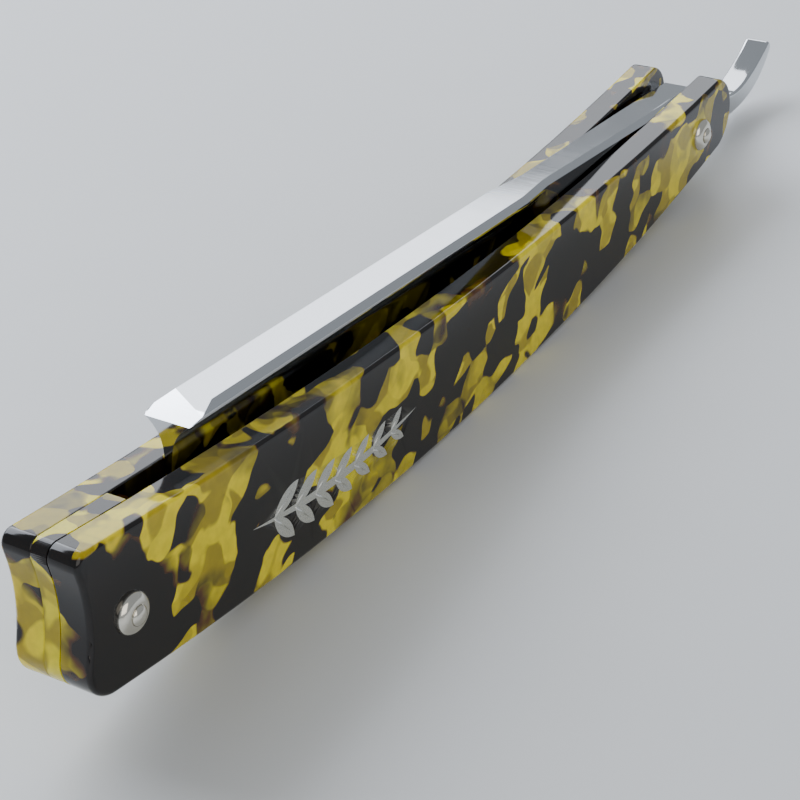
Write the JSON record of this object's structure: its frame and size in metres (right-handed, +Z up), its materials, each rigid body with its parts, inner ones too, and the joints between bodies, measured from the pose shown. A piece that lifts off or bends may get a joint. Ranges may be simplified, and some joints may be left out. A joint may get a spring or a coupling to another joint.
{
  "type": "straight razor",
  "caption": "Folding straight razor with a hollow-ground steel blade pivoting between two curved tortoise-pattern resin scales.",
  "frame": {"origin": "on the resting surface, under the lowest point of the scales' belly, midway between the scales", "axes": "+X from the wedge end to the pivot end, +Y from the inlaid front scale to the back scale, +Z up towards the blade's spine"},
  "size_m": [0.1805, 0.0172, 0.0277],
  "materials": {
    "tortoise_resin": "polished translucent resin, yellow with near-black brown patches",
    "polished_steel": "mirror-polished hollow-ground steel",
    "inlay_silver": "satin silver-grey inlay",
    "nickel_silver": "polished nickel silver, domed and peened",
    "brass_washer": "plain turned washer"
  },
  "bodies": {
    "handle": {"front_scale": "tortoise_resin", "back_scale": "tortoise_resin", "wedge": "tortoise_resin", "scale_inlay": "inlay_silver", "wedge_pin": "nickel_silver", "pivot_pin": "nickel_silver", "front_wedge_collar": "nickel_silver", "back_wedge_collar": "nickel_silver", "front_pivot_collar": "nickel_silver", "back_pivot_collar": "nickel_silver", "front_thrust_washer": "brass_washer", "back_thrust_washer": "brass_washer"},
    "blade": {"blade": "polished_steel"}
  },
  "joints": [
    {"name": "blade_pivot", "type": "hinge", "parent": "handle", "child": "blade", "pos_m": [0.0586, 0, 0.0101], "axis": [0, 1, 0], "range_deg": [0, 330]}
  ]
}
